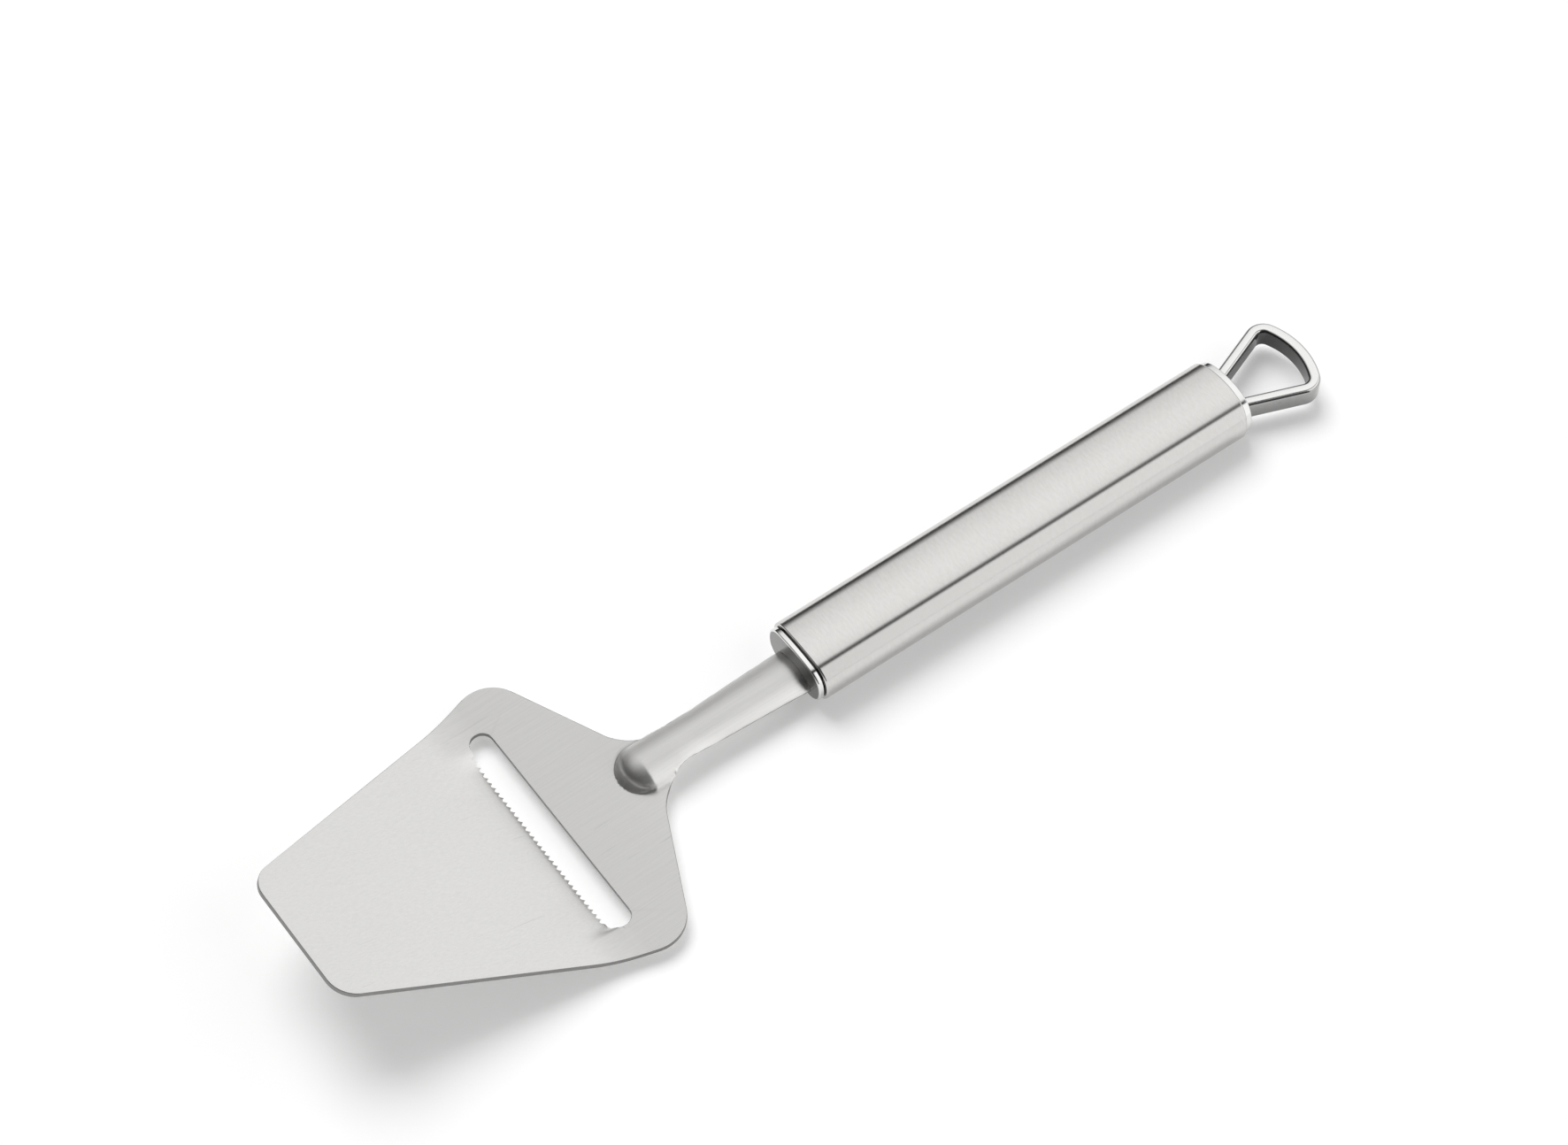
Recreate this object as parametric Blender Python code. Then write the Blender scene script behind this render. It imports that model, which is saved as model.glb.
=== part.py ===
# Cheese slicer: a stamped blade with a serrated cutting slot, an oval tube handle with a cap
# at each end, and a hanging loop. Hidden weld beads hold the blade's tang and the loop's legs.
#
# Sizes are in metres. In the work frame x = 0 is the front cap's outer face, +x runs along the
# handle towards the loop and z = 0 is the handle's axis. All pieces hang on one empty, which
# lays the slicer down on the blade's lip and the rear end of the handle.

import math

import bmesh
import bpy
from mathutils import Vector

# Blade sheet. Lengths along the sheet (u) count from the bend line, positive towards the handle.
SHEET = 0.0010
BEND_X = -0.06546
BEND_ANGLE = math.radians(20.0)
BEND_RADIUS = 0.025
REAR_LEVEL = -0.00425
TIP_CORNER = (-0.0547, 0.0155)
TIP_RADIUS = 0.0058
SHOULDER_CORNER = (0.01457, 0.03645)
SHOULDER_RADIUS = 0.0078
NECK_CORNER = (0.02966, 0.00415)
NECK_RADIUS = 0.012
SHANK_END = (0.06546, 0.0056)
TANG_LENGTH = 0.014
TANG_CORNER_RADIUS = 0.001

# Cutting slot and its serrated lip
SLOT_REAR_U = 0.00836
SLOT_FRONT_U = 0.0035
SLOT_HALF_LENGTH = 0.02625
TOOTH_COUNT = 34
TOOTH_PITCH = 0.00135
TOOTH_DEPTH = 0.00085
CURL_DROP = 0.0006
CURL_START_U = -0.016
CURL_FADE = 0.012
LIP_DROP = 0.0005
LIP_START_U = -0.001
LIP_FADE = 0.0048

# Pressed rib: a dome on the blade that runs into the arched shank. Behind the slot the sheet
# rises evenly towards the neck.
RIB_HEIGHT = 0.00465
DOME_X = -0.0374
DOME_HALF_WIDTH = 0.0053
SHANK_HALF_WIDTH = 0.0061
WIDENING_X = -0.034
WIDENING_LENGTH = 0.034
REAR_SLOPE = 0.03
RISE_END_X = -0.031
RISE_FADE = 0.015
FOOT_BLEND = 0.0016
WAIST_BLEND = 0.0046
WAIST_X = -0.043
WAIST_LENGTH = 0.0055
NECK_MARGIN = 0.0015

# Spacing of the lines where the flat sheet can fold, and small tolerances
BEND_PITCH = 0.0017
FADE_PITCH = 0.0008
DOME_PITCH = 0.00062
SHANK_PITCH = 0.004
ARCH_PITCH = 0.0008
SLOPE_STEP = 0.00003
SAME_POINT = 0.00002
BEYOND = 1.0

# Handle tube, an oval made of two crowned faces, two rounder sides and four corner arcs
TUBE_HALF_WIDTH = 0.00925
TUBE_HALF_HEIGHT = 0.00575
CROWN_RADIUS = 0.045
SIDE_RADIUS = 0.009
CORNER_RADIUS = 0.0045
TUBE_WALL = 0.0009
TUBE_FRONT_X = 0.0015
TUBE_REAR_X = 0.1099
TUBE_FRONT_RIM = 0.0004
TUBE_REAR_RIM = 0.0008

# End caps
CAP_INSET = 0.0006
CAP_FLANGE = 0.0012
CAP_RIM = 0.0007
SPIGOT_LENGTH = 0.0025
FIT_GAP = 0.0003

# Hanging loop, an oval bar bent to a rounded triangle in the level plane
BAR_WIDTH = 0.0025
BAR_HEIGHT = 0.0050
LOOP_LEVEL = -0.0010
LEG_INNER_END = (0.1060, 0.0015)
LOOP_CORNER = (0.12714, 0.00954)
LOOP_END_X = 0.13044
LOOP_CORNER_RADIUS = 0.0032
LEG_CUT_PAST = 0.003
LEG_CUT_LENGTH = 0.012

# Weld beads
BEAD_RADIUS = 0.0006
TANG_WELD_HALF_LENGTH = 0.0034
LOOP_WELD_WRAP = math.radians(30.0)

# Straight steps that each round stretch is made of
TIP_STEPS = 8
SHOULDER_STEPS = 12
NECK_STEPS = 14
TANG_CORNER_STEPS = 3
TOOTH_STEPS = 4
SLOT_END_STEPS = 8
SIDE_STEPS = 3
CORNER_STEPS = 7
CROWN_STEPS = 4
TUBE_FRONT_RIM_STEPS = 3
TUBE_REAR_RIM_STEPS = 4
CAP_RIM_STEPS = 4
LOOP_CORNER_STEPS = 9
LOOP_END_STEPS = 6
BAR_EDGE_STEPS = 8
BEAD_STEPS = 8
LOOP_WELD_STEPS = 3

MATERIALS = {
    "blade_steel": ((0.60, 0.60, 0.59, 1.0), 0.34),
    "tube_steel": ((0.60, 0.59, 0.57, 1.0), 0.32),
    "polished_steel": ((0.66, 0.66, 0.65, 1.0), 0.14),
    "weld_steel": ((0.42, 0.41, 0.40, 1.0), 0.55),
}


def clear_objects():
    for item in list(bpy.data.objects):
        bpy.data.objects.remove(item, do_unlink=True)


def steel(name):
    colour, roughness = MATERIALS[name]
    material = bpy.data.materials.get(name)
    if material is None:
        material = bpy.data.materials.new(name)
        material.use_nodes = True
        shader = material.node_tree.nodes["Principled BSDF"]
        shader.inputs["Base Color"].default_value = colour
        shader.inputs["Metallic"].default_value = 1.0
        shader.inputs["Roughness"].default_value = roughness
    return material


def add_object(name, mesh_data, material_name, parent):
    bmesh.ops.recalc_face_normals(mesh_data, faces=mesh_data.faces)
    mesh = bpy.data.meshes.new(name)
    mesh_data.to_mesh(mesh)
    mesh_data.free()
    mesh.materials.append(steel(material_name))
    mesh.shade_smooth()
    item = bpy.data.objects.new(name, mesh)
    bpy.context.scene.collection.objects.link(item)
    item.parent = parent
    return item


def smooth_step(value):
    value = min(max(value, 0.0), 1.0)
    return value * value * (3.0 - 2.0 * value)


def rounded_corner(before, corner, after, radius, steps):
    # Points of the arc that rounds the corner between two straight edges.
    corner = Vector(corner)
    toward_before = (Vector(before) - corner).normalized()
    toward_after = (Vector(after) - corner).normalized()
    half_angle = toward_before.angle(toward_after) / 2.0
    center = corner + (toward_before + toward_after).normalized() * radius / math.sin(half_angle)
    start = corner + toward_before * radius / math.tan(half_angle) - center
    sweep = start.angle_signed(corner + toward_after * radius / math.tan(half_angle) - center)
    points = []
    for step in range(steps + 1):
        turn = -sweep * step / steps
        turned = Vector((start.x * math.cos(turn) - start.y * math.sin(turn),
                         start.x * math.sin(turn) + start.y * math.cos(turn)))
        points.append(center + turned)
    return points


def blade_outline():
    tang_corner = (SHANK_END[0] + TANG_LENGTH, SHANK_END[1])
    tip_middle = (TIP_CORNER[0], 0.0)
    tang_middle = (tang_corner[0], 0.0)
    half = rounded_corner(tip_middle, TIP_CORNER, SHOULDER_CORNER, TIP_RADIUS, TIP_STEPS)
    half += rounded_corner(TIP_CORNER, SHOULDER_CORNER, NECK_CORNER, SHOULDER_RADIUS, SHOULDER_STEPS)
    half += rounded_corner(SHOULDER_CORNER, NECK_CORNER, SHANK_END, NECK_RADIUS, NECK_STEPS)
    half.append(Vector(SHANK_END))
    half += rounded_corner(SHANK_END, tang_corner, tang_middle, TANG_CORNER_RADIUS, TANG_CORNER_STEPS)
    mirrored = [Vector((point.x, -point.y)) for point in reversed(half)]
    return half + mirrored


def slot_middle():
    return (SLOT_REAR_U + SLOT_FRONT_U) / 2.0


def slot_outline():
    # The front edge is a row of scallops that meet in points; the ends are half circles.
    end_radius = (SLOT_REAR_U - SLOT_FRONT_U) / 2.0
    end_y = SLOT_HALF_LENGTH - end_radius
    points = []
    first_y = -TOOTH_COUNT * TOOTH_PITCH / 2.0
    for tooth in range(TOOTH_COUNT):
        for step in range(TOOTH_STEPS):
            along = step / TOOTH_STEPS
            from_gullet = 2.0 * along - 1.0
            notch = TOOTH_DEPTH * (1.0 - from_gullet ** 2)
            points.append(Vector((SLOT_FRONT_U - notch, first_y + (tooth + along) * TOOTH_PITCH)))
    points.append(Vector((SLOT_FRONT_U, -first_y)))
    for side in (1.0, -1.0):
        for step in range(SLOT_END_STEPS + 1):
            angle = math.pi * step / SLOT_END_STEPS
            lean = -math.cos(angle) * side
            points.append(Vector((slot_middle() + end_radius * lean,
                                  side * (end_y + end_radius * math.sin(angle)))))
    return points


def neck_relief(x, y):
    # Height above the level sheet: the rising rear and the pressed rib, joined by a soft foot that
    # is widest at the waist.
    fade = 1.0 - smooth_step((x - RISE_END_X) / RISE_FADE)
    rise = fade * REAR_SLOPE * (x - BEND_X - slot_middle())
    widening = smooth_step((x - WIDENING_X) / WIDENING_LENGTH)
    half_width = DOME_HALF_WIDTH + (SHANK_HALF_WIDTH - DOME_HALF_WIDTH) * widening
    reach = math.hypot(min(x - DOME_X, 0.0), y) / half_width
    rib = math.copysign(RIB_HEIGHT * math.sqrt(abs(1.0 - reach ** 2)), 1.0 - reach)
    waist = fade * smooth_step((x - WAIST_X) / WAIST_LENGTH)
    blend = FOOT_BLEND + waist * (WAIST_BLEND - FOOT_BLEND)
    near = max(blend - abs(rib - rise), 0.0) / blend
    return max(rib, rise) + near ** 2 * blend / 4.0


def bent_sheet(u):
    # The sheet's side profile: level at the rear, an arc at the bend, then the sloping front.
    arc_start = BEND_RADIUS * math.tan(BEND_ANGLE / 2.0)
    arc_end = arc_start - BEND_RADIUS * BEND_ANGLE
    if u >= arc_start:
        return BEND_X + u, REAR_LEVEL
    turned = min((arc_start - u) / BEND_RADIUS, BEND_ANGLE)
    straight = max(0.0, arc_end - u)
    x = BEND_X + arc_start - BEND_RADIUS * math.sin(turned) - straight * math.cos(BEND_ANGLE)
    z = REAR_LEVEL + BEND_RADIUS * (1.0 - math.cos(turned)) + straight * math.sin(BEND_ANGLE)
    return x, z


def pressed_down(u, start, drop):
    # How far the lip is pushed down at u, growing from its start to the slot's front edge.
    return drop * min(max(u - start, 0.0) / (SLOT_FRONT_U - start), 1.0) ** 2


def blade_point(u, y):
    # Top surface of the finished blade over the point (u, y) of its flat pattern.
    x, z = bent_sheet(u)
    if CURL_START_U < u < slot_middle():
        # The lip runs on along the front slope and is pressed down towards its edge.
        from_end = SLOT_HALF_LENGTH - abs(y)
        share = smooth_step(from_end / LIP_FADE)
        arc_end = BEND_RADIUS * (math.tan(BEND_ANGLE / 2.0) - BEND_ANGLE)
        end_x, end_z = bent_sheet(arc_end)
        along = max(0.0, u - arc_end)
        slope_x = end_x + along * math.cos(BEND_ANGLE) if along else x
        slope_z = end_z - along * math.sin(BEND_ANGLE) if along else z
        x += share * (slope_x - x)
        z += share * (slope_z - pressed_down(u, LIP_START_U, LIP_DROP) - z)
        z -= smooth_step(from_end / CURL_FADE) * pressed_down(u, CURL_START_U, CURL_DROP)
    elif u > slot_middle():
        z += neck_relief(x, y)
    return Vector((x, y, z))


def blade_normal(u, y):
    along = blade_point(u + SLOPE_STEP, y) - blade_point(u - SLOPE_STEP, y)
    across = blade_point(u, y + SLOPE_STEP) - blade_point(u, y - SLOPE_STEP)
    return along.cross(across).normalized()


def spread(first, last, pitch):
    count = max(1, round((last - first) / pitch))
    return [first + (last - first) * index / count for index in range(count + 1)]


def cut_flat(sheet, normal, stations, first_u, last_u):
    # Adds edges to the flat pattern where it is to be bent or pressed.
    for station in stations:
        faces = [face for face in sheet.faces if first_u < face.calc_center_median().x < last_u]
        edges = {edge for face in faces for edge in face.edges}
        verts = {vert for face in faces for vert in face.verts}
        bmesh.ops.bisect_plane(sheet, geom=faces + list(edges) + list(verts), dist=SAME_POINT / 2.0,
                               plane_co=Vector(normal) * station, plane_no=normal)


def draw_loop(sheet, points):
    verts = [sheet.verts.new((point.x, point.y, 0.0)) for point in points]
    for index in range(len(verts)):
        sheet.edges.new((verts[index - 1], verts[index]))


def make_blade(parent):
    sheet = bmesh.new()
    draw_loop(sheet, blade_outline())
    draw_loop(sheet, slot_outline())
    bmesh.ops.remove_doubles(sheet, verts=sheet.verts, dist=SAME_POINT)
    bmesh.ops.triangle_fill(sheet, use_beauty=True, edges=sheet.edges[:], normal=(0.0, 0.0, 1.0))
    across = (1.0, 0.0, 0.0)
    lengthwise = (0.0, 1.0, 0.0)
    bend_lines = spread(CURL_START_U, BEND_RADIUS * math.tan(BEND_ANGLE / 2.0), BEND_PITCH)
    cut_flat(sheet, across, bend_lines + [slot_middle()], -BEYOND, BEYOND)
    fade_lines = spread(SLOT_HALF_LENGTH - LIP_FADE, SLOT_HALF_LENGTH, FADE_PITCH)
    fade_lines += spread(SLOT_HALF_LENGTH - CURL_FADE, fade_lines[0], 2.0 * FADE_PITCH)
    lip_columns = fade_lines + [-line for line in fade_lines] + [0.0]
    cut_flat(sheet, lengthwise, lip_columns, CURL_START_U, SLOT_REAR_U)
    neck_start = DOME_X - DOME_HALF_WIDTH - NECK_MARGIN - BEND_X
    dome_end = DOME_X - BEND_X + NECK_MARGIN
    fillet_end = dome_end + NECK_RADIUS
    neck_lines = spread(neck_start, dome_end, DOME_PITCH)
    neck_lines += spread(dome_end, fillet_end, 2.0 * DOME_PITCH)
    neck_lines += spread(fillet_end, SHANK_END[0] + TANG_LENGTH - TANG_CORNER_RADIUS, SHANK_PITCH)
    cut_flat(sheet, across, neck_lines[:1], -BEYOND, BEYOND)
    cut_flat(sheet, across, neck_lines[1:], neck_start, BEYOND)
    half_width = SHANK_HALF_WIDTH + NECK_MARGIN
    rib_columns = spread(-half_width, half_width, DOME_PITCH)
    cut_flat(sheet, lengthwise, rib_columns, neck_start, BEYOND)
    bmesh.ops.triangulate(sheet, faces=sheet.faces[:])
    top_verts = set(sheet.verts)
    extruded = bmesh.ops.extrude_face_region(sheet, geom=sheet.faces[:], use_keep_orig=True)
    lower_verts = {item for item in extruded["geom"] if isinstance(item, bmesh.types.BMVert)}
    for vert in top_verts | lower_verts:
        u, y = vert.co.x, vert.co.y
        vert.co = blade_point(u, y)
        if vert in lower_verts:
            vert.co -= blade_normal(u, y) * SHEET
    return add_object("blade", sheet, "blade_steel", parent)


def corner_center():
    # Where the circles of corner centers about the crown's and the side's own centers cross.
    crown = Vector((0.0, TUBE_HALF_HEIGHT - CROWN_RADIUS))
    side = Vector((TUBE_HALF_WIDTH - SIDE_RADIUS, 0.0))
    apart = (side - crown).length
    toward_side = (side - crown) / apart
    crown_reach = CROWN_RADIUS - CORNER_RADIUS
    side_reach = SIDE_RADIUS - CORNER_RADIUS
    forward = (crown_reach ** 2 - side_reach ** 2 + apart ** 2) / (2.0 * apart)
    aside = math.sqrt(crown_reach ** 2 - forward ** 2)
    return crown + toward_side * forward + Vector((toward_side.y, -toward_side.x)) * aside


def oval_section(inset):
    # The tube's outline moved in by inset: one quarter from side to top, then mirrored; y and z.
    crown = Vector((0.0, TUBE_HALF_HEIGHT - CROWN_RADIUS))
    side = Vector((TUBE_HALF_WIDTH - SIDE_RADIUS, 0.0))
    corner = corner_center()
    side_end = math.atan2(corner.y, corner.x - side.x)
    crown_start = math.atan2(corner.y - crown.y, corner.x)
    quarter = []
    for center, radius, first, last, steps in (
            (side, SIDE_RADIUS, 0.0, side_end, SIDE_STEPS),
            (corner, CORNER_RADIUS, side_end, crown_start, CORNER_STEPS),
            (crown, CROWN_RADIUS, crown_start, math.pi / 2.0, CROWN_STEPS)):
        for step in range(steps):
            angle = first + (last - first) * step / steps
            ray = Vector((math.cos(angle), math.sin(angle)))
            quarter.append(center + ray * (radius - inset))
    top = Vector((0.0, TUBE_HALF_HEIGHT - inset))
    left = [Vector((-point.x, point.y)) for point in reversed(quarter[1:])]
    upper = quarter + [top] + left
    lower = [Vector((-point.x, -point.y)) for point in upper]
    return upper + lower


def ring_at(mesh_data, x, inset):
    return [mesh_data.verts.new((x, point.x, point.y)) for point in oval_section(inset)]


def skin_rings(mesh_data, rings, closed):
    pairs = list(zip(rings, rings[1:]))
    if closed:
        pairs.append((rings[-1], rings[0]))
    for first, second in pairs:
        count = len(first)
        for index in range(count):
            after = (index + 1) % count
            mesh_data.faces.new((first[index], first[after], second[after], second[index]))
    if not closed:
        mesh_data.faces.new(rings[0])
        mesh_data.faces.new(list(reversed(rings[-1])))


def round_edge(x, inset, radius, direction, steps):
    # Ring places (x, inset) around an outer edge; direction points out of the end face.
    places = []
    for step in range(steps + 1):
        angle = math.pi / 2.0 * step / steps
        places.append((x - direction * radius * (1.0 - math.sin(angle)),
                       inset + radius * (1.0 - math.cos(angle))))
    return places


def make_tube(parent):
    mesh_data = bmesh.new()
    places = list(reversed(round_edge(TUBE_FRONT_X, 0.0, TUBE_FRONT_RIM, -1.0, TUBE_FRONT_RIM_STEPS)))
    places += round_edge(TUBE_REAR_X, 0.0, TUBE_REAR_RIM, 1.0, TUBE_REAR_RIM_STEPS)
    places += [(TUBE_REAR_X, TUBE_WALL), (TUBE_FRONT_X, TUBE_WALL)]
    rings = [ring_at(mesh_data, x, inset) for x, inset in places]
    skin_rings(mesh_data, rings, closed=True)
    return add_object("handle_tube", mesh_data, "tube_steel", parent)


def cap_body(outer_x, direction):
    # A flange with a rounded outer rim and a spigot that plugs the tube; direction points outward.
    mesh_data = bmesh.new()
    flange_x = outer_x - direction * CAP_FLANGE
    spigot_inset = TUBE_WALL + FIT_GAP
    places = list(reversed(round_edge(outer_x, CAP_INSET, CAP_RIM, direction, CAP_RIM_STEPS)))
    places += [(flange_x, CAP_INSET), (flange_x, spigot_inset)]
    places += [(flange_x - direction * SPIGOT_LENGTH, spigot_inset)]
    rings = [ring_at(mesh_data, x, inset) for x, inset in places]
    skin_rings(mesh_data, rings, closed=False)
    return mesh_data


def arch_point(y, out):
    # A point of the shank's arch at the cap, moved out along its normal; y and z values.
    root = math.sqrt(1.0 - (y / SHANK_HALF_WIDTH) ** 2)
    slope = RIB_HEIGHT * y / SHANK_HALF_WIDTH ** 2 / root
    normal = Vector((slope, 1.0)).normalized()
    return Vector((y, REAR_LEVEL + RIB_HEIGHT * root)) + normal * out


def cut_away(target, cutter):
    cutter.hide_render = True
    cutter.display_type = "WIRE"
    cut = target.modifiers.new("opening", "BOOLEAN")
    cut.operation = "DIFFERENCE"
    cut.solver = "EXACT"
    cut.object = cutter
    with bpy.context.temp_override(object=target, active_object=target):
        bpy.ops.object.modifier_apply(modifier=cut.name)
    bpy.data.objects.remove(cutter, do_unlink=True)


def make_front_cap(parent):
    cap = add_object("front_cap", cap_body(0.0, -1.0), "polished_steel", parent)
    # The opening follows the shank's arch with a working gap all round.
    cutter = bmesh.new()
    reach = SHANK_END[1] + FIT_GAP / 2.0
    stations = spread(-reach, reach, ARCH_PITCH)
    section = [arch_point(y, FIT_GAP) for y in stations]
    section += [arch_point(y, -SHEET - FIT_GAP) for y in reversed(stations)]
    length = CAP_FLANGE + SPIGOT_LENGTH
    rings = []
    for x in (-length, 2.0 * length):
        rings.append([cutter.verts.new((x, y, z)) for y, z in section])
    skin_rings(cutter, rings, closed=False)
    cut_away(cap, add_object("shank_opening", cutter, "polished_steel", parent))
    return cap


def loop_path():
    # Center line of the bent bar from one inner leg end round to the other.
    end = Vector((LOOP_END_X, 0.0))
    corner = Vector(LOOP_CORNER)
    bulge = end.x - corner.x
    arc_radius = (corner.y ** 2 + bulge ** 2) / (2.0 * bulge)
    arc_center = Vector((end.x - arc_radius, 0.0))
    lean = math.asin(corner.y / arc_radius)
    tangent_point = corner + Vector((math.sin(lean), -math.cos(lean))) * corner.y
    half = [Vector(LEG_INNER_END)]
    half += rounded_corner(LEG_INNER_END, corner, tangent_point, LOOP_CORNER_RADIUS, LOOP_CORNER_STEPS)
    first = math.atan2(half[-1].y, half[-1].x - arc_center.x)
    for step in range(1, LOOP_END_STEPS):
        angle = first * (1.0 - step / LOOP_END_STEPS)
        half.append(arc_center + Vector((math.cos(angle), math.sin(angle))) * arc_radius)
    mirrored = [Vector((point.x, -point.y)) for point in reversed(half)]
    return half + [end] + mirrored


def bar_section(grow):
    # Flat oval across the bar: half circles joined by straight sides.
    radius = BAR_WIDTH / 2.0 + grow
    straight = (BAR_HEIGHT - BAR_WIDTH) / 2.0
    points = []
    for side in (1.0, -1.0):
        for step in range(BAR_EDGE_STEPS + 1):
            angle = math.pi * step / BAR_EDGE_STEPS
            points.append((side * radius * math.cos(angle), side * (straight + radius * math.sin(angle))))
    return points


def sweep_level(path, section, mesh_data):
    # Rings of a section carried along a path in the level plane.
    rings = []
    for index, point in enumerate(path):
        before = path[max(index - 1, 0)]
        after = path[min(index + 1, len(path) - 1)]
        tangent = (after - before).normalized()
        aside = Vector((-tangent.y, tangent.x))
        ring = []
        for offset, height in section:
            place = point + aside * offset
            ring.append(mesh_data.verts.new((place.x, place.y, LOOP_LEVEL + height)))
        rings.append(ring)
    skin_rings(mesh_data, rings, closed=False)


def make_loop(parent):
    mesh_data = bmesh.new()
    sweep_level(loop_path(), bar_section(0.0), mesh_data)
    return add_object("hanging_loop", mesh_data, "polished_steel", parent)


def leg_direction():
    path = loop_path()
    return (path[1] - path[0]).normalized()


def make_rear_cap(parent):
    outer_x = TUBE_REAR_X + TUBE_FRONT_X
    cap = add_object("rear_cap", cap_body(outer_x, 1.0), "polished_steel", parent)
    start = Vector(LEG_INNER_END)
    along = leg_direction()
    for side in (1.0, -1.0):
        cutter = bmesh.new()
        ends = [start - along * LEG_CUT_PAST, start + along * LEG_CUT_LENGTH]
        path = [Vector((point.x, side * point.y)) for point in ends]
        sweep_level(path, bar_section(FIT_GAP), cutter)
        cut_away(cap, add_object("leg_opening", cutter, "polished_steel", parent))
    return cap


def bead_around(path, mesh_data):
    # A round bead carried along a path of 3D points that lies across the handle.
    rings = []
    for index, point in enumerate(path):
        before = path[max(index - 1, 0)]
        after = path[min(index + 1, len(path) - 1)]
        tangent = (after - before).normalized()
        first = Vector((1.0, 0.0, 0.0))
        second = tangent.cross(first)
        ring = []
        for step in range(BEAD_STEPS):
            angle = 2.0 * math.pi * step / BEAD_STEPS
            place = point + (first * math.cos(angle) + second * math.sin(angle)) * BEAD_RADIUS
            ring.append(mesh_data.verts.new(place))
        rings.append(ring)
    skin_rings(mesh_data, rings, closed=False)


def make_tang_weld(parent):
    # Lies on the tang's crown against the inner face of the front cap.
    x = CAP_FLANGE + SPIGOT_LENGTH + FIT_GAP + BEAD_RADIUS
    path = []
    for y in spread(-TANG_WELD_HALF_LENGTH, TANG_WELD_HALF_LENGTH, ARCH_PITCH):
        place = arch_point(y, FIT_GAP + BEAD_RADIUS)
        path.append(Vector((x, place.x, place.y)))
    mesh_data = bmesh.new()
    bead_around(path, mesh_data)
    return add_object("tang_weld", mesh_data, "weld_steel", parent)


def make_loop_weld(name, side, parent):
    # A bead on the outer side of the leg, against the inner face of the rear cap.
    along = leg_direction()
    inner_face_x = TUBE_REAR_X + TUBE_FRONT_X - CAP_FLANGE - SPIGOT_LENGTH
    x = inner_face_x - FIT_GAP - BEAD_RADIUS
    center_y = LEG_INNER_END[1] + (x - LEG_INNER_END[0]) * along.y / along.x
    radius = BAR_WIDTH / 2.0 + FIT_GAP + BEAD_RADIUS
    straight = (BAR_HEIGHT - BAR_WIDTH) / 2.0
    path = []
    for level, first in ((LOOP_LEVEL - straight, -LOOP_WELD_WRAP), (LOOP_LEVEL + straight, 0.0)):
        for step in range(LOOP_WELD_STEPS + 1):
            angle = first + LOOP_WELD_WRAP * step / LOOP_WELD_STEPS
            aside = center_y + radius * math.cos(angle) / along.x
            path.append(Vector((x, side * aside, level + radius * math.sin(angle))))
    mesh_data = bmesh.new()
    bead_around(path, mesh_data)
    return add_object(name, mesh_data, "weld_steel", parent)


def lay_down(rest, items):
    # Turns the work frame until the lip and the handle's rear end touch the table, then puts the
    # origin under the middle of the whole part.
    foot_x = TUBE_REAR_X - TUBE_REAR_RIM
    foot_z = -TUBE_HALF_HEIGHT
    slope = max((foot_z - vert.co.z) / (foot_x - vert.co.x) for vert in items[0].data.vertices)
    rest.rotation_euler = (0.0, math.atan(slope), 0.0)
    turn = rest.rotation_euler.to_matrix()
    points = [turn @ vert.co for item in items for vert in item.data.vertices]
    middle_x = (min(point.x for point in points) + max(point.x for point in points)) / 2.0
    rest.location = (-middle_x, 0.0, -min(point.z for point in points))


def main():
    clear_objects()
    rest = bpy.data.objects.new("rest_pose", None)
    bpy.context.scene.collection.objects.link(rest)
    items = [make_blade(rest)]
    items.append(make_front_cap(rest))
    items.append(make_tube(rest))
    items.append(make_rear_cap(rest))
    items.append(make_loop(rest))
    items.append(make_tang_weld(rest))
    items.append(make_loop_weld("loop_weld_left", 1.0, rest))
    items.append(make_loop_weld("loop_weld_right", -1.0, rest))
    lay_down(rest, items)


main()
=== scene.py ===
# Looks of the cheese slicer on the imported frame. Lengths are millimetres in the handle's own frame:
# x = 0 is the front cap's outer face, +x runs to the loop, z = 0 is the handle's axis.
import math

import bmesh
import bpy
from mathutils import Matrix, Vector


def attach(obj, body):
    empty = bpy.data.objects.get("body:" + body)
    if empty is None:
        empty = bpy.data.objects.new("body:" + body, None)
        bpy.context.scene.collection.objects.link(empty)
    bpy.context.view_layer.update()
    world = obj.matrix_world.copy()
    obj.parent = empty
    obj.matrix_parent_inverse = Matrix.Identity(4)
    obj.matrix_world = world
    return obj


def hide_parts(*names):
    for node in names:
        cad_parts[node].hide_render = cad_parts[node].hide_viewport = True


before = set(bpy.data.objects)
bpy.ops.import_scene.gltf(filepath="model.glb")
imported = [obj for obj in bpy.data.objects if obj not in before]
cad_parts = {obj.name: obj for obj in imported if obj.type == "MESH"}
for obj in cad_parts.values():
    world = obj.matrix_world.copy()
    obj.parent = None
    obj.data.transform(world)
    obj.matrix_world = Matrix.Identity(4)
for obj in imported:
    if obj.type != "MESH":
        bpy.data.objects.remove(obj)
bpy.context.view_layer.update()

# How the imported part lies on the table: a small turn about Y, then a shift
restTurn = math.radians(0.55209)
restShift = Vector((-7.2674, 0.0, 6.8010))
millimetre = 0.001
layDown = Matrix.Translation(restShift * millimetre) @ Matrix.Rotation(restTurn, 4, "Y")
toRow = layDown @ Matrix.Scale(millimetre, 4)

samePoint = 0.004  # closer than this is one vertex
far = 1000.0  # beyond the object
axisX = Vector((1.0, 0.0, 0.0))
axisY = Vector((0.0, 1.0, 0.0))
axisZ = Vector((0.0, 0.0, 1.0))


def smoothStep(value):
    value = min(max(value, 0.0), 1.0)
    return value * value * (3.0 - 2.0 * value)


def spread(first, last, pitch):
    count = max(1, round((last - first) / pitch))
    return [first + (last - first) * index / count for index in range(count + 1)]


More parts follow.
